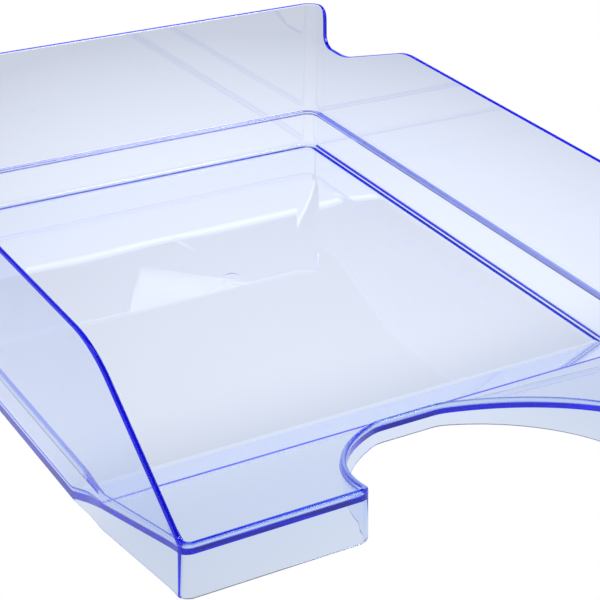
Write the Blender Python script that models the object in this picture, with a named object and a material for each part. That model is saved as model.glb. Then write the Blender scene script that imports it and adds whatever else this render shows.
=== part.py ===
"""A stackable letter tray: one injection moulding in clear tinted polystyrene.

The moulding is a floor with one continuous wall around it. The wall runs along the back and
both sides, turns in across the low front, and follows the finger cut-out in the middle of the
front. Everything is worked out as a loft: stations are placed round the plan outline, each
station carries the wall's cross-section, and the sections are skinned into one closed body.

Frame: metres, +X across the tray, +Y towards its back, +Z up. The origin is on the resting
surface, under the centre of the tray. Lengths along the tray are measured from its front face.
"""

import math

import bmesh
import bpy

# Overall size.
WIDTH = 0.255
DEPTH = 0.346
HEIGHT = 0.0795
WALL = 0.0022

# Plan outline of the rim.
BACK_CORNER_RADIUS = 0.010
FRONT_CORNER_RADIUS = 0.005

# Heights of the rim. The back wall takes the full HEIGHT.
SIDE_RIM = 0.0790
FRONT_RIM = 0.0380

# The sides fall from the side rim to the front rim along one straight slope.
SLOPE_FOOT = 0.0035
SLOPE_HEAD = 0.0676
SLOPE_HEAD_RADIUS = 0.050

# A dip in each side, just in front of the back corner.
NOTCH_FLOOR = 0.0590
NOTCH_BACK = 0.3350
NOTCH_EDGE_RUN = 0.0014
NOTCH_VALLEY = 0.3150
NOTCH_FRONT = 0.2605
NOTCH_TOP_RADIUS = 0.006
NOTCH_FOOT_RADIUS = 0.007
NOTCH_VALLEY_RADIUS = 0.035
NOTCH_FRONT_RADIUS = 0.035

# The upper wall stands out from the lower tub by a stacking step, which rests on the tray below.
STEP_Z = 0.0194
STEP_OUT = 0.0020
STEP_END = 0.062
STEP_TURN = 0.020
STEP_OUT_FRONT = 0.0009
SIDE_LEAN = 0.0003
BACK_LEAN = 0.0010

# The floor is flat at the back, then bends up twice into a ramp that meets the front wall just
# under its rim. RAMP_TOP has the corners of its upper face, and RAMP_UNDER of its lower face.
FLOOR_FLAT_END = 0.098
RAMP_TOP_FRONT = 0.0360
RAMP_TOP_CORNERS = ((0.0674, 0.0146), (0.0953, WALL))
RAMP_UNDER_FRONT = 0.0337
RAMP_UNDER_CORNERS = ((0.0666, 0.01254), (0.0948, 0.0))
RAMP_RADII = (0.012, 0.010)

# Under the ramp the wall hangs down as a skirt, which rises to the front. Round the cut-out its
# lower edge stands higher than along the sides.
SKIRT_FLAT_END = 0.096
SKIRT_BEND_END = 0.084
SKIRT_FRONT = 0.0160
SKIRT_TAPER = 0.0006
CUT_SKIRT_RISE = 0.0040
CUT_SKIRT_FRONT = 0.012

# Finger cut-out: two large arcs with a flat crown between them, and rounded front ends.
CUT_CROWN = 0.0612
CUT_RADIUS = 0.0728
CUT_CENTRE_X = -0.0171
CUT_CENTRE_Y = -0.0045
CUT_CROWN_RADIUS = 0.012
CUT_END_RADIUS = 0.005
CUT_RIM_FALL = 0.317
CUT_DRAFT = math.tan(math.radians(4.0))

# Edges: the rim's chamfer, and the rounding under and inside the floor's edge.
RIM_CHAMFER = 0.0005
UNDER_RADIUS = 0.0010
UNDER_RADIUS_FRONT = 0.0004
INNER_RADIUS = 0.0030
INNER_RADIUS_FRONT = 0.0008

# Faceting of the rounded places.
CORNER_STEPS = 6
CUT_ARC_STEPS = 18
FILLET_STEPS = 3
RAMP_STEPS = 3
STATION_GAP = 0.0003
SMOOTH_ANGLE = math.radians(35.0)

TINT = (0.62, 0.71, 0.95, 1.0)
ROUGHNESS = 0.06
IOR = 1.59


class Station:
    """A point of the rim's plan outline, with the normal that points out of the material."""

    def __init__(self, x, y, nx, ny, part):
        self.x, self.y, self.nx, self.ny, self.part = x, y, nx, ny, part

    def mirrored(self):
        return Station(-self.x, self.y, -self.nx, self.ny, self.part)


def blend(value, start, end, low, high):
    """low at start, high at end, and straight between them."""
    share = min(max((value - start) / (end - start), 0.0), 1.0)
    return low + (high - low) * share


def rounded(corners, steps):
    """The polyline through (y, z, radius) corners, with an arc at each corner of some radius."""
    points = []
    for index, (y, z, radius) in enumerate(corners):
        if radius == 0.0:
            points.append((y, z))
            continue
        before, after = corners[index - 1], corners[index + 1]
        in_angle = math.atan2(z - before[1], y - before[0])
        turn = math.atan2(after[1] - z, after[0] - y) - in_angle
        reach = radius * abs(math.tan(turn / 2))
        side = math.copysign(1.0, turn)
        start_y, start_z = y - reach * math.cos(in_angle), z - reach * math.sin(in_angle)
        centre_y = start_y - side * radius * math.sin(in_angle)
        centre_z = start_z + side * radius * math.cos(in_angle)
        for step in range(steps + 1):
            angle = in_angle + turn * step / steps
            points.append(
                (
                    centre_y + side * radius * math.sin(angle),
                    centre_z - side * radius * math.cos(angle),
                )
            )
    return points


def height_along(profile, y):
    """Height of a (y, z) polyline at y."""
    for (y0, z0), (y1, z1) in zip(profile, profile[1:]):
        if y <= y1:
            return blend(y, y0, y1, z0, z1)
    return profile[-1][1]


SIDE_PROFILE = rounded(
    [
        (0.0, FRONT_RIM, 0.0),
        (SLOPE_FOOT, FRONT_RIM, 0.0),
        (SLOPE_HEAD, SIDE_RIM, SLOPE_HEAD_RADIUS),
        (NOTCH_FRONT, SIDE_RIM, NOTCH_FRONT_RADIUS),
        (NOTCH_VALLEY, NOTCH_FLOOR, NOTCH_VALLEY_RADIUS),
        (NOTCH_BACK, NOTCH_FLOOR, NOTCH_FOOT_RADIUS),
        (NOTCH_BACK + NOTCH_EDGE_RUN, HEIGHT, NOTCH_TOP_RADIUS),
        (DEPTH, HEIGHT, 0.0),
    ],
    CORNER_STEPS,
)


def ramp(front, corners):
    """Height profile of one face of the floor: straight ramps with a rounding at each bend."""
    bends = [(y, z, radius) for (y, z), radius in zip(corners, RAMP_RADII)]
    return rounded([(0.0, front, 0.0)] + bends + [(DEPTH, corners[-1][1], 0.0)], RAMP_STEPS)


RAMP_TOP = ramp(RAMP_TOP_FRONT, RAMP_TOP_CORNERS)
RAMP_UNDER = ramp(RAMP_UNDER_FRONT, RAMP_UNDER_CORNERS)


def skirt_edge(station, y):
    """Height of the wall's lower edge: on the ground at the back, and rising to the front."""
    middle = (SKIRT_FLAT_END + SKIRT_BEND_END) / 2
    slope = SKIRT_FRONT / middle
    if y >= SKIRT_FLAT_END:
        return 0.0
    if y >= SKIRT_BEND_END:
        return slope * (SKIRT_FLAT_END - y) ** 2 / (2 * (SKIRT_FLAT_END - SKIRT_BEND_END))
    rise = CUT_SKIRT_RISE * blend(y, 0.0, CUT_SKIRT_FRONT, 0.0, 1.0) if station.part == "cut" else 0.0
    return slope * (middle - y) + rise


def rim_height(station):
    if station.part == "cut":
        return FRONT_RIM - CUT_RIM_FALL * max(station.y, 0.0)
    if station.part == "front":
        return FRONT_RIM
    return height_along(SIDE_PROFILE, station.y)


def step_height(station, rim):
    """Height of the stacking step: level along the tub, then rising to the front rim."""
    if station.part in ("cut", "front"):
        return rim - 2 * RIM_CHAMFER
    rising = blend(station.y, 0.0, STEP_END, FRONT_RIM - 2 * RIM_CHAMFER, STEP_Z)
    return min(rising, rim - 2 * RIM_CHAMFER)


def step_width(station):
    if station.part in ("cut", "front"):
        return 0.0
    if station.y < 2 * FRONT_CORNER_RADIUS:
        return blend(station.y, 0.0, 2 * FRONT_CORNER_RADIUS, 0.0, STEP_OUT_FRONT)
    return blend(station.y, STEP_END, STEP_END + STEP_TURN, STEP_OUT_FRONT, STEP_OUT)


def draft(station):
    """Slope of the wall, as run over rise. Only the cut-out's wall leans much."""
    if station.part != "cut":
        return 0.0
    return blend(station.ny, -1.0, 0.0, 0.0, CUT_DRAFT) if station.y < CUT_END_RADIUS else CUT_DRAFT


def arc(cx, cy, radius, start, end, steps, part, hollow=False):
    """Stations on an arc, in degrees. On a hollow arc the normals point to its centre."""
    sign = -1.0 if hollow else 1.0
    for step in range(steps + 1):
        angle = math.radians(start + (end - start) * step / steps)
        cos, sin = math.cos(angle), math.sin(angle)
        yield Station(cx + radius * cos, cy + radius * sin, sign * cos, sign * sin, part)


def cut_out_stations():
    """Half of the cut-out, from the middle of its crown to the front face."""
    crown_y = CUT_CROWN - CUT_CROWN_RADIUS
    crown_reach = CUT_RADIUS - CUT_CROWN_RADIUS
    crown_x = CUT_CENTRE_X + math.sqrt(crown_reach**2 - (crown_y - CUT_CENTRE_Y) ** 2)
    crown_end = math.degrees(math.atan2(crown_y - CUT_CENTRE_Y, crown_x - CUT_CENTRE_X))
    end_reach = CUT_RADIUS + CUT_END_RADIUS
    end_rise = CUT_END_RADIUS - CUT_CENTRE_Y
    end_x = CUT_CENTRE_X + math.sqrt(end_reach**2 - end_rise**2)
    end_angle = math.degrees(math.asin(end_rise / end_reach))
    yield Station(0.0, CUT_CROWN, 0.0, -1.0, "cut")
    yield from arc(crown_x, crown_y, CUT_CROWN_RADIUS, 90, crown_end, 3, "cut", hollow=True)
    large = arc(
        CUT_CENTRE_X, CUT_CENTRE_Y, CUT_RADIUS, crown_end, end_angle, CUT_ARC_STEPS, "cut", hollow=True
    )
    yield from list(large)[1:]
    yield from list(arc(end_x, CUT_END_RADIUS, CUT_END_RADIUS, 180 + end_angle, 270, 5, "cut"))[1:]


def side_stations():
    """The straight side, with a station wherever its height, step or floor changes."""
    first, last = FRONT_CORNER_RADIUS, DEPTH - BACK_CORNER_RADIUS
    marks = [SKIRT_BEND_END, SKIRT_FLAT_END, FLOOR_FLAT_END]
    marks += [2 * FRONT_CORNER_RADIUS, STEP_END, STEP_END + STEP_TURN]
    marks += [y for y, _ in SIDE_PROFILE + RAMP_TOP + RAMP_UNDER]
    places = []
    for y in sorted(y for y in marks if first < y < last):
        if not places or y - places[-1] > STATION_GAP:
            places.append(y)
    for y in places:
        yield Station(WIDTH / 2, y, 1.0, 0.0, "side")


def half_outline():
    """Stations from the middle of the cut-out round to the middle of the back wall."""
    front, back = FRONT_CORNER_RADIUS, BACK_CORNER_RADIUS
    corner_x = WIDTH / 2 - front
    stations = list(cut_out_stations())
    stations += list(arc(corner_x, front, front, 270, 360, CORNER_STEPS, "side"))
    stations += list(side_stations())
    stations += list(arc(WIDTH / 2 - back, DEPTH - back, back, 0, 90, 2 * CORNER_STEPS, "side"))
    stations.append(Station(0.0, DEPTH, 0.0, 1.0, "side"))
    return stations


def quarter(radius):
    """(inset, rise) of a fillet from its tangent on the floor to its tangent on the wall."""
    for step in range(FILLET_STEPS + 1):
        angle = math.radians(90 * (1 - step / FILLET_STEPS))
        yield radius * (1 - math.cos(angle)), radius * (1 - math.sin(angle))


def section(station):
    """Points of the wall's section: under the floor, down and up the skirt, the rim, the floor's top."""
    rim = rim_height(station)
    step_z = step_height(station, rim)
    step_w = step_width(station)
    slope = draft(station)
    lean = SIDE_LEAN + (BACK_LEAN - SIDE_LEAN) * max(station.ny, 0.0)
    lean = lean if station.part == "side" else 0.0
    in_front = 1.0 if station.part == "cut" else blend(station.y, STEP_END, SKIRT_BEND_END, 1.0, 0.0)
    under = UNDER_RADIUS + (UNDER_RADIUS_FRONT - UNDER_RADIUS) * in_front
    inner = INNER_RADIUS + (INNER_RADIUS_FRONT - INNER_RADIUS) * in_front
    tub = lean + step_w

    def at(inset, z):
        return station.x - inset * station.nx, station.y - inset * station.ny, z

    def on(profile, inset, rise=0.0):
        return at(inset, height_along(profile, station.y - inset * station.ny) + rise)

    def tub_inset(z):
        return tub - slope * (rim - z)

    edge = skirt_edge(station, station.y)
    outer_face = tub_inset(edge + under)
    top = height_along(RAMP_TOP, station.y - WALL * station.ny)
    inner_face = tub_inset(top + inner) + WALL
    points = [on(RAMP_UNDER, tub_inset(top - WALL) + WALL), at(outer_face + WALL - SKIRT_TAPER, edge)]
    points += [at(outer_face + run, edge + rise) for run, rise in quarter(under)]
    points.append(at(tub_inset(step_z), step_z))
    points.append(at(lean, step_z + 0.25 * RIM_CHAMFER * (1 - step_w / STEP_OUT)))
    points.append(at(0.0, rim - RIM_CHAMFER))
    points.append(at(RIM_CHAMFER, rim))
    points.append(at(WALL - RIM_CHAMFER, rim))
    points.append(at(WALL, rim - RIM_CHAMFER))
    ledge = min(step_z + WALL, rim - 1.25 * RIM_CHAMFER)
    points.append(at(WALL + lean, ledge + 0.1 * RIM_CHAMFER))
    points.append(at(tub_inset(ledge) + WALL, ledge))
    fillet = [on(RAMP_TOP, inner_face + run, rise) for run, rise in quarter(inner)]
    return points + fillet[::-1]


def zip_chains(bm, chain, other):
    """Triangles between two rows of vertices that both run backwards along the tray."""
    i = j = 0
    while i < len(chain) - 1 or j < len(other) - 1:
        other_done = j == len(other) - 1
        if other_done or (i < len(chain) - 1 and chain[i + 1].co.y <= other[j + 1].co.y):
            bm.faces.new((chain[i], chain[i + 1], other[j]))
            i += 1
        else:
            bm.faces.new((chain[i], other[j + 1], other[j]))
            j += 1


def close_floor(bm, ring, cut_end, flat, profile):
    """Faces across the tray on one face of the floor: the ramp, then the flat part."""
    count = len(ring)
    outer_ends = [ring[i] for i in range(cut_end + 1, flat + 1)]
    first = ring[0].co.y + STATION_GAP
    middle = []
    for y in [vert.co.y for vert in outer_ends if vert.co.y > first]:
        middle.append(bm.verts.new((0.0, y, height_along(profile, y + DEPTH / 2))))
    for turn in (1, -1):
        inner = [ring[turn * i % count] for i in range(cut_end, -1, -1)] + middle
        outer = [ring[turn * i % count] for i in range(cut_end + 1, flat + 1)]
        zip_chains(bm, inner, outer)
    bm.faces.new(ring[flat : count - flat + 1] + [middle[-1]])


def make_tray():
    half = half_outline()
    outline = half + [station.mirrored() for station in half[-2:0:-1]]
    count = len(outline)
    bm = bmesh.new()
    sections = [section(station) for station in outline]
    rings = []
    for points in zip(*sections):
        rings.append([bm.verts.new((x, y - DEPTH / 2, z)) for x, y, z in points])
    for ring, following in zip(rings, rings[1:]):
        for i in range(count):
            j = (i + 1) % count
            bm.faces.new((ring[i], ring[j], following[j], following[i]))
    cut_end = max(i for i, station in enumerate(half) if station.part == "cut")
    on_side = [i for i, station in enumerate(half) if station.part == "side"]
    flat = min(on_side, key=lambda i: abs(half[i].y - FLOOR_FLAT_END))
    close_floor(bm, rings[0], cut_end, flat, RAMP_UNDER)
    close_floor(bm, rings[-1], cut_end, flat, RAMP_TOP)
    bmesh.ops.recalc_face_normals(bm, faces=bm.faces)
    mesh = bpy.data.meshes.new("tray_moulding")
    bm.to_mesh(mesh)
    bm.free()
    mesh.shade_smooth()
    mesh.set_sharp_from_angle(angle=SMOOTH_ANGLE)
    return mesh


def clear_plastic():
    material = bpy.data.materials.new("clear_tinted_polystyrene")
    material.use_nodes = True
    shader = material.node_tree.nodes["Principled BSDF"]
    shader.inputs["Base Color"].default_value = TINT
    shader.inputs["Roughness"].default_value = ROUGHNESS
    shader.inputs["Metallic"].default_value = 0.0
    shader.inputs["IOR"].default_value = IOR
    shader.inputs["Transmission Weight"].default_value = 1.0
    return material


def main():
    for old in list(bpy.data.objects):
        bpy.data.objects.remove(old, do_unlink=True)
    mesh = make_tray()
    mesh.materials.append(clear_plastic())
    tray = bpy.data.objects.new("tray_moulding", mesh)
    bpy.context.scene.collection.objects.link(tray)


main()
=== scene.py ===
"""A clear, pale blue letter tray: the fine surface of the moulding, its plastic, and a white studio.

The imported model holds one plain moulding. It is replaced here by the same loft with finer
roundings: stations run round the plan outline, each carries the wall's section, and the sections
are skinned into one closed body. Lengths along the tray are measured from its front face.
"""

import math

import bmesh
import bpy
from mathutils import Matrix, Vector, geometry


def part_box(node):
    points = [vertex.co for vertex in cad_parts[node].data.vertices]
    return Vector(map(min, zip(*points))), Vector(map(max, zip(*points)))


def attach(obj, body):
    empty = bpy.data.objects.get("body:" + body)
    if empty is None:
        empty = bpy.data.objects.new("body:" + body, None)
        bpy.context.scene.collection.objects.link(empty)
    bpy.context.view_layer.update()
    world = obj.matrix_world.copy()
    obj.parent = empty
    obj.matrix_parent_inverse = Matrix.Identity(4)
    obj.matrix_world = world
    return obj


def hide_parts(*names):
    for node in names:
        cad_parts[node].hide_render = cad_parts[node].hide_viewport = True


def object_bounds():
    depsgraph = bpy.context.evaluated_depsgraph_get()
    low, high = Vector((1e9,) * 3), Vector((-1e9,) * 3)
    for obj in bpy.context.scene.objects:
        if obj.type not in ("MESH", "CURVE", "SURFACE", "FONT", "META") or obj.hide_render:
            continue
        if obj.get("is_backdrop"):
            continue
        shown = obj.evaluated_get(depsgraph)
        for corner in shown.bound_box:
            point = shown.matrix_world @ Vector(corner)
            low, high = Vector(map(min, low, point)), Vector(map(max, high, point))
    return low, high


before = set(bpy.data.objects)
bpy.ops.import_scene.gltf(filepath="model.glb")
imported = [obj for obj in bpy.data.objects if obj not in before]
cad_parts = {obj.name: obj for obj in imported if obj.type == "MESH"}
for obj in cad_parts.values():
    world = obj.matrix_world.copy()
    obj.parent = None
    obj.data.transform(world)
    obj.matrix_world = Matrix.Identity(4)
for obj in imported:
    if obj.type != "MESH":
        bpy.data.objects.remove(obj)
cad_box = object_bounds()
low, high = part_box("tray_moulding")

# Overall size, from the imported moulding.
WIDTH = high.x - low.x
DEPTH = high.y - low.y
HEIGHT = high.z - low.z
WALL = 0.0022

# Plan outline of the rim.
BACK_CORNER_RADIUS = 0.010
FRONT_CORNER_RADIUS = 0.005

# Heights of the rim, and the slope that joins them at the front of each side.
SIDE_RIM = 0.0790
FRONT_RIM = 0.0380
SLOPE_FOOT = 0.0035
SLOPE_HEAD = 0.0676
SLOPE_HEAD_RADIUS = 0.050

# A dip in each side, just in front of the back corner.
NOTCH_FLOOR = 0.0590
NOTCH_BACK = DEPTH - 0.0110
NOTCH_EDGE_RUN = 0.0014
NOTCH_VALLEY = DEPTH - 0.0310
NOTCH_FRONT = DEPTH - 0.0855
NOTCH_TOP_RADIUS = 0.006
NOTCH_FOOT_RADIUS = 0.007
NOTCH_VALLEY_RADIUS = 0.035
NOTCH_FRONT_RADIUS = 0.035

# The stacking step, and how far the wall above it leans.
STEP_Z = 0.0194
STEP_OUT = 0.0020
STEP_END = 0.062
STEP_TURN = 0.020
STEP_OUT_FRONT = 0.0009
SIDE_LEAN = 0.0003
BACK_LEAN = 0.0010

# The floor is flat at the back, then bends up twice into a ramp that meets the front wall just
# under its rim. RAMP_TOP has the corners of its upper face, and RAMP_UNDER of its lower face.
FLOOR_FLAT_END = 0.098
RAMP_TOP_FRONT = 0.0360
RAMP_TOP_CORNERS = ((0.0674, 0.0146), (0.0953, WALL))
RAMP_UNDER_FRONT = 0.0337
RAMP_UNDER_CORNERS = ((0.0666, 0.01254), (0.0948, 0.0))
RAMP_RADII = (0.012, 0.010)

# Under the ramp the wall hangs down as a skirt, which rises to the front. Round the cut-out its
# lower edge stands higher than along the sides.
SKIRT_FLAT_END = 0.096
SKIRT_BEND_END = 0.084
SKIRT_FRONT = 0.0160
SKIRT_TAPER = 0.0006
CUT_SKIRT_RISE = 0.0040
CUT_SKIRT_FRONT = 0.012

# Finger cut-out: two large arcs with a flat crown between them, and rounded front ends.
CUT_CROWN = 0.0612
CUT_RADIUS = 0.0728
CUT_CENTRE_X = -0.0171
CUT_CENTRE_Y = -0.0045
CUT_CROWN_RADIUS = 0.012
CUT_END_RADIUS = 0.005
CUT_RIM_FALL = 0.317
CUT_DRAFT = math.tan(math.radians(4.0))

# Edges. Points that would fall together are kept LOOP_GAP apart, and the small roundings take
# no more than SMALL_SHARE of the face they are on.
RIM_ROUND = 0.0008
STEP_ROUND = 0.0003
LEDGE_ROUND = 0.0006
UNDER_RADIUS = 0.0010
UNDER_RADIUS_FRONT = 0.0004
INNER_RADIUS = 0.0030
INNER_RADIUS_FRONT = 0.0005
LOOP_GAP = 0.00008
SMALL_SHARE = 0.4

# The gate mark under the floor: a low ring where the plastic entered the mould.
GATE_PLACE = (0.012, 0.0505)
GATE_RADII = (0.0016, 0.0021, 0.0034, 0.0039)
GATE_DEPTH = 0.00015
GATE_SIDES = 48

# Fineness.
CORNER_STEPS = 14
CUT_ARC_STEPS = 56
ROUND_STEPS = 5
SIDE_SPACING = 0.004
RAMP_STEPS = 5
SHARP_ANGLE = 40.0
STATION_GAP = 0.0001

# Plastic: absorption per metre in red, green and blue, a faint painted blue glow that stands in for
# the light scattered inside it, and the height and scale of the waves in its faces. Light takes many
# turns inside the walls.
ABSORPTION = (80.0, 55.0, 1.5)
IOR = 1.59
ROUGHNESS = 0.0
PAINTED_GLOW = 0.005
PAINTED_GLOW_COLOUR = (0.03, 0.10, 1.0, 1.0)
WAVE_SCALE = 14.0
WAVE_HEIGHT = 0.00003
LIGHT_BOUNCES = 250
WHITE = (1.0, 1.0, 1.0, 1.0)
BLACK = (0.0, 0.0, 0.0, 1.0)

# Camera, from the tray's own edges.
CAMERA_PLACE = (-0.3401, -0.5947, 0.3737)
CAMERA_YAW = math.radians(31.05)
CAMERA_PITCH = math.radians(27.56)
CAMERA_ROLL = math.radians(1.56)
CAMERA_LENS = 108.17
CAMERA_SENSOR = 36.0

# Studio. The table glows white, less so far behind the tray and to its right, which is painted shade:
# TABLE_GLOW has the (constant, x, y, xx, xy, yy) terms, kept between two limits. Over the range
# SHADE_Y it turns from the bluish painted shadow under the ramp to white. SKY has (place from low to
# high, light) pairs.
TABLE_SIZE = 14.0
TABLE_GAP = 0.0002
TABLE_GLOW = (1.14, 0.35, -0.20, -6.3, 2.4, -3.2)
TABLE_LIMITS = (0.70, 1.16)
SHADE_Y = (-0.115, -0.030)
SHADE_COLOUR = (0.69, 0.735, 0.79, 1.0)
SKY = ((0.0, 0.75), (0.5, 0.85), (0.85, 0.70), (1.0, 0.70))
# A low lit screen with a bright upper edge stands far behind the tray. The dark panels over it
# keep the floor's reflections dim, and the key is a small bright square on the right in front.
PANELS = (
    # name, centre, width, height, facing, glow
    ("screen", (1.40, 1.30, 0.33), 2.00, 0.62, (0.0, -1.0, 0.0), 0.85),
    ("screen_edge", (1.40, 1.30, 0.643), 2.00, 0.006, (0.0, -1.0, 0.0), 1.6),
    ("dark_back", (1.10, 1.30, 1.60), 2.60, 1.90, (0.0, -1.0, 0.0), 0.10),
    ("dark_top", (0.85, -0.10, 1.60), 1.50, 1.00, (0.0, 0.0, -1.0), 0.10),
    ("key", (0.80, -0.95, 1.15), 0.60, 0.60, (-0.48, 0.48, -0.73), 7.0),
)


class Station:
    """A point of the rim's plan outline, with the normal that points out of the material."""

    def __init__(self, x, y, nx, ny, part):
        self.x, self.y, self.nx, self.ny, self.part = x, y, nx, ny, part

    def mirrored(self):
        return Station(-self.x, self.y, -self.nx, self.ny, self.part)


def blend(value, start, end, first, second):
    """first at start, second at end, and straight between them."""
    share = min(max((value - start) / (end - start), 0.0), 1.0)
    return first + (second - first) * share


def smooth(value, start, end):
    """0 at start, 1 at end, with no corner at either."""
    share = min(max((value - start) / (end - start), 0.0), 1.0)
    return share * share * (3 - 2 * share)


def rounded(corners, steps):
    """The polyline through (y, z, radius) corners, with an arc at each corner of some radius."""
    points = []
    for index, (y, z, radius) in enumerate(corners):
        if radius == 0.0:
            points.append((y, z))
            continue
        before, after = corners[index - 1], corners[index + 1]
        in_angle = math.atan2(z - before[1], y - before[0])
        turn = math.atan2(after[1] - z, after[0] - y) - in_angle
        reach = radius * abs(math.tan(turn / 2))
        side = math.copysign(1.0, turn)
        start_y, start_z = y - reach * math.cos(in_angle), z - reach * math.sin(in_angle)
        centre_y = start_y - side * radius * math.sin(in_angle)
        centre_z = start_z + side * radius * math.cos(in_angle)
        for step in range(steps + 1):
            angle = in_angle + turn * step / steps
            points.append(
                (
                    centre_y + side * radius * math.sin(angle),
                    centre_z - side * radius * math.cos(angle),
                )
            )
    return points


def height_along(profile, y):
    """Height of a (y, z) polyline at y."""
    for (y0, z0), (y1, z1) in zip(profile, profile[1:]):
        if y <= y1:
            return blend(y, y0, y1, z0, z1)
    return profile[-1][1]


SIDE_PROFILE = rounded(
    [
        (0.0, FRONT_RIM, 0.0),
        (SLOPE_FOOT, FRONT_RIM, 0.0),
        (SLOPE_HEAD, SIDE_RIM, SLOPE_HEAD_RADIUS),
        (NOTCH_FRONT, SIDE_RIM, NOTCH_FRONT_RADIUS),
        (NOTCH_VALLEY, NOTCH_FLOOR, NOTCH_VALLEY_RADIUS),
        (NOTCH_BACK, NOTCH_FLOOR, NOTCH_FOOT_RADIUS),
        (NOTCH_BACK + NOTCH_EDGE_RUN, HEIGHT, NOTCH_TOP_RADIUS),
        (DEPTH, HEIGHT, 0.0),
    ],
    CORNER_STEPS,
)


def ramp(front, corners):
    """Height profile of one face of the floor: straight ramps with a rounding at each bend."""
    bends = [(y, z, radius) for (y, z), radius in zip(corners, RAMP_RADII)]
    return rounded([(0.0, front, 0.0)] + bends + [(DEPTH, corners[-1][1], 0.0)], RAMP_STEPS)


RAMP_TOP = ramp(RAMP_TOP_FRONT, RAMP_TOP_CORNERS)
RAMP_UNDER = ramp(RAMP_UNDER_FRONT, RAMP_UNDER_CORNERS)


def skirt_edge(station, y):
    """Height of the wall's lower edge: on the ground at the back, and rising to the front."""
    middle = (SKIRT_FLAT_END + SKIRT_BEND_END) / 2
    slope = SKIRT_FRONT / middle
    if y >= SKIRT_FLAT_END:
        return 0.0
    if y >= SKIRT_BEND_END:
        return slope * (SKIRT_FLAT_END - y) ** 2 / (2 * (SKIRT_FLAT_END - SKIRT_BEND_END))
    rise = CUT_SKIRT_RISE * smooth(y, 0.0, CUT_SKIRT_FRONT) if station.part == "cut" else 0.0
    return slope * (middle - y) + rise


def rim_height(station):
    if station.part == "cut":
        return FRONT_RIM - CUT_RIM_FALL * max(station.y, 0.0)
    if station.part == "front":
        return FRONT_RIM
    return height_along(SIDE_PROFILE, station.y)


def step_height(station, rim):
    """Height of the stacking step: level along the tub, then rising to the front rim."""
    under_rim = rim - RIM_ROUND - 8 * LOOP_GAP
    if station.part in ("cut", "front"):
        return under_rim
    return min(blend(station.y, 0.0, STEP_END, FRONT_RIM - RIM_ROUND, STEP_Z), under_rim)


def step_width(station):
    if station.part in ("cut", "front"):
        return 0.0
    if station.y < 2 * FRONT_CORNER_RADIUS:
        return blend(station.y, 0.0, 2 * FRONT_CORNER_RADIUS, 0.0, STEP_OUT_FRONT)
    share = smooth(station.y, STEP_END, STEP_END + STEP_TURN)
    return STEP_OUT_FRONT + (STEP_OUT - STEP_OUT_FRONT) * share


def draft(station):
    """Slope of the wall, as run over rise. Only the cut-out's wall leans much."""
    if station.part != "cut":
        return 0.0
    return blend(station.ny, -1.0, 0.0, 0.0, CUT_DRAFT) if station.y < CUT_END_RADIUS else CUT_DRAFT


def arc(cx, cy, radius, start, end, steps, part, hollow=False):
    """Stations on an arc, in degrees. On a hollow arc the normals point to its centre."""
    sign = -1.0 if hollow else 1.0
    for step in range(steps + 1):
        angle = math.radians(start + (end - start) * step / steps)
        cos, sin = math.cos(angle), math.sin(angle)
        yield Station(cx + radius * cos, cy + radius * sin, sign * cos, sign * sin, part)


def cut_out_stations():
    """Half of the cut-out, from the middle of its crown to the front face."""
    crown_y = CUT_CROWN - CUT_CROWN_RADIUS
    crown_reach = CUT_RADIUS - CUT_CROWN_RADIUS
    crown_x = CUT_CENTRE_X + math.sqrt(crown_reach**2 - (crown_y - CUT_CENTRE_Y) ** 2)
    crown_end = math.degrees(math.atan2(crown_y - CUT_CENTRE_Y, crown_x - CUT_CENTRE_X))
    end_reach = CUT_RADIUS + CUT_END_RADIUS
    end_rise = CUT_END_RADIUS - CUT_CENTRE_Y
    end_x = CUT_CENTRE_X + math.sqrt(end_reach**2 - end_rise**2)
    end_angle = math.degrees(math.asin(end_rise / end_reach))
    yield Station(0.0, CUT_CROWN, 0.0, -1.0, "cut")
    yield from arc(
        crown_x, crown_y, CUT_CROWN_RADIUS, 90, crown_end, CORNER_STEPS, "cut", hollow=True
    )
    large = arc(
        CUT_CENTRE_X, CUT_CENTRE_Y, CUT_RADIUS, crown_end, end_angle, CUT_ARC_STEPS, "cut", hollow=True
    )
    yield from list(large)[1:]
    end = arc(end_x, CUT_END_RADIUS, CUT_END_RADIUS, 180 + end_angle, 270, CORNER_STEPS, "cut")
    yield from list(end)[1:]


def side_stations():
    """The straight side, with a station wherever its height, step or floor changes."""
    first, last = FRONT_CORNER_RADIUS, DEPTH - BACK_CORNER_RADIUS
    marks = [SIDE_SPACING * i for i in range(math.ceil(FLOOR_FLAT_END / SIDE_SPACING))]
    marks += [SKIRT_BEND_END, SKIRT_FLAT_END, FLOOR_FLAT_END, STEP_END, STEP_END + STEP_TURN]
    marks += [y for y, _ in SIDE_PROFILE + RAMP_TOP + RAMP_UNDER]
    places = []
    for y in sorted(y for y in marks if first < y < last):
        if not places or y - places[-1] > STATION_GAP:
            places.append(y)
    for y in places:
        yield Station(WIDTH / 2, y, 1.0, 0.0, "side")


def half_outline():
    """Stations from the middle of the cut-out round to the middle of the back wall."""
    front, back = FRONT_CORNER_RADIUS, BACK_CORNER_RADIUS
    corner_x = WIDTH / 2 - front
    stations = list(cut_out_stations())
    stations += list(arc(corner_x, front, front, 270, 360, CORNER_STEPS, "side"))
    stations += list(side_stations())
    stations += list(arc(WIDTH / 2 - back, DEPTH - back, back, 0, 90, 2 * CORNER_STEPS, "side"))
    stations.append(Station(0.0, DEPTH, 0.0, 1.0, "side"))
    return stations


def quarter(radius, start):
    """(right, up) offsets of a quarter arc from its centre, anticlockwise from start degrees."""
    for step in range(ROUND_STEPS + 1):
        angle = math.radians(start + 90 * step / ROUND_STEPS)
        yield radius * math.cos(angle), radius * math.sin(angle)


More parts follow.
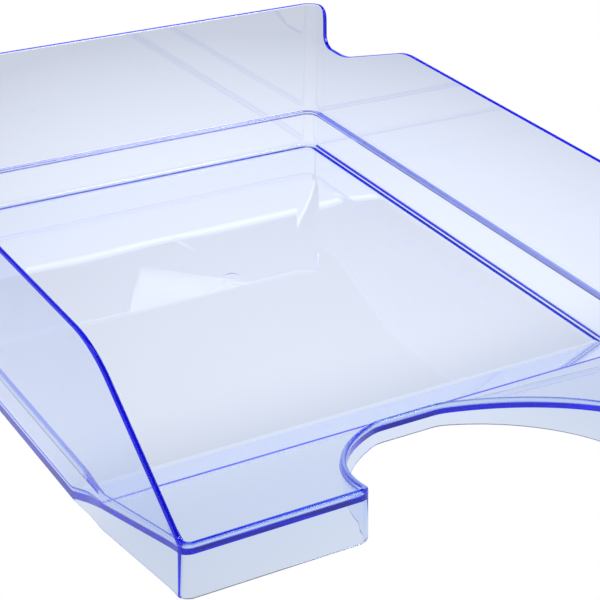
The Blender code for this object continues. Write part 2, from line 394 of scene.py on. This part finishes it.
def section(station):
    """Points of the wall's section: the floor's underside, the skirt, the rim, the floor's top."""
    rim = rim_height(station)
    step_z = step_height(station, rim)
    step_w = step_width(station)
    slope = draft(station)
    lean = SIDE_LEAN + (BACK_LEAN - SIDE_LEAN) * max(station.ny, 0.0)
    lean = lean if station.part == "side" else 0.0
    in_front = 1.0 if station.part == "cut" else 1 - smooth(station.y, STEP_END, SKIRT_BEND_END)
    under = UNDER_RADIUS + (UNDER_RADIUS_FRONT - UNDER_RADIUS) * in_front
    inner = INNER_RADIUS + (INNER_RADIUS_FRONT - INNER_RADIUS) * in_front
    tub = lean + step_w
    share = step_w / STEP_OUT
    spread = LOOP_GAP * (1 - share)

    def at(inset, z):
        return station.x - inset * station.nx, station.y - inset * station.ny, z

    def on(profile, inset, rise=0.0):
        return at(inset, height_along(profile, station.y - inset * station.ny) + rise)

    def tub_inset(z):
        return tub - slope * (rim - z)

    edge = skirt_edge(station, station.y)
    outer_face = tub_inset(edge + under)
    top = height_along(RAMP_TOP, station.y - WALL * station.ny)
    points = [on(RAMP_UNDER, tub_inset(top - WALL) + WALL)]
    points.append(at(outer_face + WALL - SKIRT_TAPER, edge))
    for right, up in reversed(list(quarter(under, 180))):
        points.append(at(outer_face + under + right, edge + under + up))

    # The step under the upper wall: a small hollow, the level face, and its outer edge.
    radius = min(STEP_ROUND, step_w * SMALL_SHARE)
    for index, (right, up) in enumerate(quarter(radius, 0)):
        drop = (index - ROUND_STEPS) * spread / 2
        points.append(at(tub_inset(step_z) - radius + right, step_z - radius + up + drop))
    for index, (right, up) in enumerate(reversed(list(quarter(radius, 180)))):
        climb = (index + 1) * spread / 2
        points.append(at(lean + radius + right, step_z + radius + up + climb))

    # The rounded rim.
    for right, up in reversed(list(quarter(RIM_ROUND, 90))):
        points.append(at(RIM_ROUND + right, rim - RIM_ROUND + up))
    for right, up in reversed(list(quarter(RIM_ROUND, 0))):
        points.append(at(WALL - RIM_ROUND + right, rim - RIM_ROUND + up))

    # The ledge inside, above the tub.
    ledge = min(step_z + WALL, rim - RIM_ROUND - 4 * LOOP_GAP)
    radius = min(LEDGE_ROUND, step_w * SMALL_SHARE, max(ledge - step_z, LOOP_GAP) * SMALL_SHARE)
    inside = WALL + lean
    for index, (right, up) in enumerate(quarter(radius, 180)):
        drop = (ROUND_STEPS - index) * spread / 2
        points.append(at(inside + radius + right, ledge + radius + up + drop))
    for index, (right, up) in enumerate(reversed(list(quarter(radius, 0)))):
        drop = -(index + 1) * spread / 2
        points.append(at(tub_inset(ledge) + WALL - radius + right, ledge - radius + up + drop))

    inner_face = tub_inset(top + inner) + WALL
    for right, up in quarter(inner, 180):
        points.append(on(RAMP_TOP, inner_face + inner + right, inner + up))
    return points


def zip_chains(bm, chain, other):
    """Triangles between two rows of vertices that both run backwards along the tray."""
    i = j = 0
    while i < len(chain) - 1 or j < len(other) - 1:
        other_done = j == len(other) - 1
        if other_done or (i < len(chain) - 1 and chain[i + 1].co.y <= other[j + 1].co.y):
            bm.faces.new((chain[i], chain[i + 1], other[j]))
            i += 1
        else:
            bm.faces.new((chain[i], other[j + 1], other[j]))
            j += 1


def gate_ring(bm, rise):
    """Vertices of the gate mark: circles round its centre, with the middle two pressed up by rise."""
    circles = []
    for index, radius in enumerate(GATE_RADII):
        z = rise if index in (1, 2) else 0.0
        circle = []
        for side in range(GATE_SIDES):
            angle = 2 * math.pi * side / GATE_SIDES
            x, y = GATE_PLACE[0] + radius * math.cos(angle), GATE_PLACE[1] + radius * math.sin(angle)
            circle.append(bm.verts.new((x, y, z)))
        circles.append(circle)
    for inner, outer in zip(circles, circles[1:]):
        for i in range(GATE_SIDES):
            j = (i + 1) % GATE_SIDES
            bm.faces.new((inner[i], inner[j], outer[j], outer[i]))
    bm.faces.new(circles[0])
    return circles[-1]


def flat_floor(bm, border, hole):
    """Flat faces between the border of the floor and a round hole in it."""
    verts = border + hole
    loops = [range(len(border)), range(len(border), len(verts))]
    edges = [(loop[i], loop[(i + 1) % len(loop)]) for loop in loops for i in range(len(loop))]
    points = [Vector(vert.co.xy) for vert in verts]
    _, _, faces, origins, _, _ = geometry.delaunay_2d_cdt(points, edges, [], 1, 1e-7)
    place = Vector(GATE_PLACE)
    for face in faces:
        corners = [verts[origins[i][0]] for i in face]
        centre = sum((vert.co.xy for vert in corners), Vector((0.0, 0.0))) / len(corners)
        if (centre - place).length > GATE_RADII[-1] * math.cos(math.pi / GATE_SIDES):
            bm.faces.new(corners)


def close_floor(bm, ring, cut_end, flat, profile):
    """Faces across the tray on one face of the floor: the ramp, then the flat part."""
    count = len(ring)
    first = ring[0].co.y + STATION_GAP
    middle = []
    for y in [vert.co.y for vert in ring[cut_end + 1 : flat + 1] if vert.co.y > first]:
        middle.append(bm.verts.new((0.0, y, height_along(profile, y + DEPTH / 2))))
    for turn in (1, -1):
        inner = [ring[turn * i % count] for i in range(cut_end, -1, -1)] + middle
        outer = [ring[turn * i % count] for i in range(cut_end + 1, flat + 1)]
        zip_chains(bm, inner, outer)
    border = ring[flat : count - flat + 1] + [middle[-1]]
    if profile is RAMP_TOP:
        bm.faces.new(border)
    else:
        flat_floor(bm, border, gate_ring(bm, GATE_DEPTH))


def make_tray():
    """The moulding: rings of the section's points, closed across the tray on both faces."""
    half = half_outline()
    outline = half + [station.mirrored() for station in half[-2:0:-1]]
    count = len(outline)
    bm = bmesh.new()
    rings = []
    for points in zip(*[section(station) for station in outline]):
        rings.append([bm.verts.new((x, y - DEPTH / 2, z)) for x, y, z in points])
    for ring, following in zip(rings, rings[1:]):
        for i in range(count):
            j = (i + 1) % count
            bm.faces.new((ring[i], ring[j], following[j], following[i]))
    cut_end = max(i for i, station in enumerate(half) if station.part == "cut")
    on_side = [i for i, station in enumerate(half) if station.part == "side"]
    flat = min(on_side, key=lambda i: abs(half[i].y - FLOOR_FLAT_END))
    close_floor(bm, rings[0], cut_end, flat, RAMP_UNDER)
    close_floor(bm, rings[-1], cut_end, flat, RAMP_TOP)
    bmesh.ops.recalc_face_normals(bm, faces=bm.faces)
    mesh = bpy.data.meshes.new("tray_clear")
    bm.to_mesh(mesh)
    bm.free()
    mesh.shade_smooth()
    mesh.set_sharp_from_angle(angle=math.radians(SHARP_ANGLE))
    tray = bpy.data.objects.new("tray_clear", mesh)
    bpy.context.scene.collection.objects.link(tray)
    weighted = tray.modifiers.new("even_faces", "WEIGHTED_NORMAL")
    weighted.weight = 100
    weighted.keep_sharp = True
    return tray


def clear_plastic():
    """Clear polystyrene: tinted by its depth, with a faint painted blue glow and the faint waviness of
    a moulded face.
    """
    material = bpy.data.materials.new("clear_blue_polystyrene")
    material.use_nodes = True
    nodes, links = material.node_tree.nodes, material.node_tree.links
    shader = nodes["Principled BSDF"]
    shader.inputs["Base Color"].default_value = WHITE
    shader.inputs["Roughness"].default_value = ROUGHNESS
    shader.inputs["IOR"].default_value = IOR
    shader.inputs["Transmission Weight"].default_value = 1.0
    # A faint painted blue glow on the plastic, standing in for the light scattered inside it.
    shader.inputs["Emission Color"].default_value = PAINTED_GLOW_COLOUR
    shader.inputs["Emission Strength"].default_value = PAINTED_GLOW
    material.cycles.emission_sampling = "NONE"
    place = nodes.new("ShaderNodeTexCoord")
    waves = nodes.new("ShaderNodeTexNoise")
    waves.inputs["Scale"].default_value = WAVE_SCALE
    waves.inputs["Detail"].default_value = 1.0
    bump = nodes.new("ShaderNodeBump")
    bump.inputs["Strength"].default_value = 1.0
    bump.inputs["Distance"].default_value = WAVE_HEIGHT
    links.new(place.outputs["Object"], waves.inputs["Vector"])
    links.new(waves.outputs["Fac"], bump.inputs["Height"])
    links.new(bump.outputs["Normal"], shader.inputs["Normal"])
    inside = nodes.new("ShaderNodeVolumeAbsorption")
    strongest = max(ABSORPTION)
    inside.inputs["Color"].default_value = [1 - share / strongest for share in ABSORPTION] + [1.0]
    inside.inputs["Density"].default_value = strongest
    links.new(inside.outputs["Volume"], nodes["Material Output"].inputs["Volume"])
    return material


def glow_material(name):
    """A material that only gives light, and its shader, to set how much."""
    material = bpy.data.materials.new(name)
    material.use_nodes = True
    shader = material.node_tree.nodes["Principled BSDF"]
    shader.inputs["Base Color"].default_value = BLACK
    shader.inputs["Specular IOR Level"].default_value = 0.0
    shader.inputs["Emission Color"].default_value = WHITE
    shader.inputs["Emission Strength"].default_value = 1.0
    return material, shader


def make_table():
    """The lit table: glowing unevenly in reflections and refractions, with painted shade behind the
    tray and a painted shadow under the ramp, and white to look at.
    """
    bm = bmesh.new()
    bmesh.ops.create_grid(bm, x_segments=1, y_segments=1, size=TABLE_SIZE / 2)
    mesh = bpy.data.meshes.new("table")
    bm.to_mesh(mesh)
    bm.free()
    table = bpy.data.objects.new("table", mesh)
    table.location.z = -TABLE_GAP
    bpy.context.scene.collection.objects.link(table)
    material, shader = glow_material("white_table")
    nodes, links = material.node_tree.nodes, material.node_tree.links

    def number(operation, first, second, third=0.0):
        node = nodes.new("ShaderNodeMath")
        node.operation = operation
        for socket, value in zip(node.inputs, (first, second, third)):
            if isinstance(value, float):
                socket.default_value = value
            else:
                links.new(value, socket)
        return node.outputs["Value"]

    place = nodes.new("ShaderNodeTexCoord")
    split = nodes.new("ShaderNodeSeparateXYZ")
    links.new(place.outputs["Object"], split.inputs["Vector"])
    x, y = split.outputs["X"], split.outputs["Y"]
    constant, by_x, by_y, by_xx, by_xy, by_yy = TABLE_GLOW
    # Painted shade: the glow falls off behind the tray and to its right.
    glow = number("MULTIPLY_ADD", x, by_x, constant)
    glow = number("MULTIPLY_ADD", y, by_y, glow)
    glow = number("MULTIPLY_ADD", number("MULTIPLY", x, x), by_xx, glow)
    glow = number("MULTIPLY_ADD", number("MULTIPLY", x, y), by_xy, glow)
    glow = number("MULTIPLY_ADD", number("MULTIPLY", y, y), by_yy, glow)
    glow = number("MINIMUM", number("MAXIMUM", glow, TABLE_LIMITS[0]), TABLE_LIMITS[1])
    path = nodes.new("ShaderNodeLightPath")
    # The painted shadow under the ramp: bluish before SHADE_Y, white beyond it and to the camera.
    clear = nodes.new("ShaderNodeMapRange")
    clear.interpolation_type = "SMOOTHSTEP"
    links.new(y, clear.inputs["Value"])
    clear.inputs["From Min"].default_value, clear.inputs["From Max"].default_value = SHADE_Y
    shade = nodes.new("ShaderNodeMix")
    shade.data_type = "RGBA"
    plain = number("MAXIMUM", clear.outputs["Result"], path.outputs["Is Camera Ray"])
    links.new(plain, shade.inputs["Factor"])
    shade.inputs["A"].default_value = SHADE_COLOUR
    shade.inputs["B"].default_value = WHITE
    links.new(shade.outputs["Result"], shader.inputs["Emission Color"])
    seen = nodes.new("ShaderNodeMix")
    links.new(path.outputs["Is Camera Ray"], seen.inputs["Factor"])
    links.new(glow, seen.inputs["A"])
    seen.inputs["B"].default_value = 1.0
    links.new(seen.outputs["Result"], shader.inputs["Emission Strength"])
    mesh.materials.append(material)
    table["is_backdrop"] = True


def make_panels():
    """Lit and dark panels round the tray, which only show in reflections and refractions."""
    for name, centre, width, height, facing, glow in PANELS:
        bm = bmesh.new()
        bmesh.ops.create_grid(bm, x_segments=1, y_segments=1, size=0.5)
        mesh = bpy.data.meshes.new(name)
        bm.to_mesh(mesh)
        bm.free()
        panel = bpy.data.objects.new(name, mesh)
        panel.scale = (width, height, 1.0)
        panel.rotation_euler = Vector(facing).to_track_quat("Z", "Y").to_euler()
        panel.location = centre
        panel.visible_camera = False
        bpy.context.scene.collection.objects.link(panel)
        material, shader = glow_material(name)
        shader.inputs["Emission Strength"].default_value = glow
        mesh.materials.append(material)
        panel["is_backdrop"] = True


def make_sky():
    """The room: softly lit from all sides, and white to look at."""
    world = bpy.data.worlds.new("studio")
    bpy.context.scene.world = world
    world.use_nodes = True
    nodes, links = world.node_tree.nodes, world.node_tree.links
    place = nodes.new("ShaderNodeTexCoord")
    split = nodes.new("ShaderNodeSeparateXYZ")
    ramp = nodes.new("ShaderNodeValToRGB")
    links.new(place.outputs["Generated"], split.inputs["Vector"])
    links.new(split.outputs["Z"], ramp.inputs["Fac"])
    while len(ramp.color_ramp.elements) < len(SKY):
        ramp.color_ramp.elements.new(0.5)
    for element, (height, light) in zip(ramp.color_ramp.elements, SKY):
        element.position = height
        element.color = (light, light, light, 1.0)
    path = nodes.new("ShaderNodeLightPath")
    seen = nodes.new("ShaderNodeMix")
    seen.data_type = "RGBA"
    links.new(path.outputs["Is Camera Ray"], seen.inputs["Factor"])
    links.new(ramp.outputs["Color"], seen.inputs["A"])
    seen.inputs["B"].default_value = WHITE
    links.new(seen.outputs["Result"], nodes["Background"].inputs["Color"])


def make_camera():
    """The camera: turned by its yaw and pitch, then rolled about its own axis."""
    data = bpy.data.cameras.new("camera")
    data.lens = CAMERA_LENS
    data.sensor_width = CAMERA_SENSOR
    data.clip_start = 0.01
    camera = bpy.data.objects.new("camera", data)
    bpy.context.scene.collection.objects.link(camera)
    ahead = Vector(
        (
            math.sin(CAMERA_YAW) * math.cos(CAMERA_PITCH),
            math.cos(CAMERA_YAW) * math.cos(CAMERA_PITCH),
            -math.sin(CAMERA_PITCH),
        )
    )
    level = Vector((math.cos(CAMERA_YAW), -math.sin(CAMERA_YAW), 0.0))
    above = level.cross(ahead)
    right = level * math.cos(CAMERA_ROLL) + above * math.sin(CAMERA_ROLL)
    up = above * math.cos(CAMERA_ROLL) - level * math.sin(CAMERA_ROLL)
    turn = Matrix((right, up, -ahead)).transposed()
    camera.matrix_world = Matrix.Translation(CAMERA_PLACE) @ turn.to_4x4()
    bpy.context.scene.camera = camera


tray = make_tray()
tray.data.materials.append(clear_plastic())
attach(tray, "root")
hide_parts("tray_moulding")
make_table()
make_panels()
make_sky()
make_camera()
scene = bpy.context.scene
scene.view_settings.view_transform = "Standard"
scene.cycles.max_bounces = LIGHT_BOUNCES
scene.cycles.transmission_bounces = LIGHT_BOUNCES
scene.cycles.glossy_bounces = LIGHT_BOUNCES

sizes = {"cad": cad_box, "visual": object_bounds()}
{name: [list(corner) for corner in box] for name, box in sizes.items()}
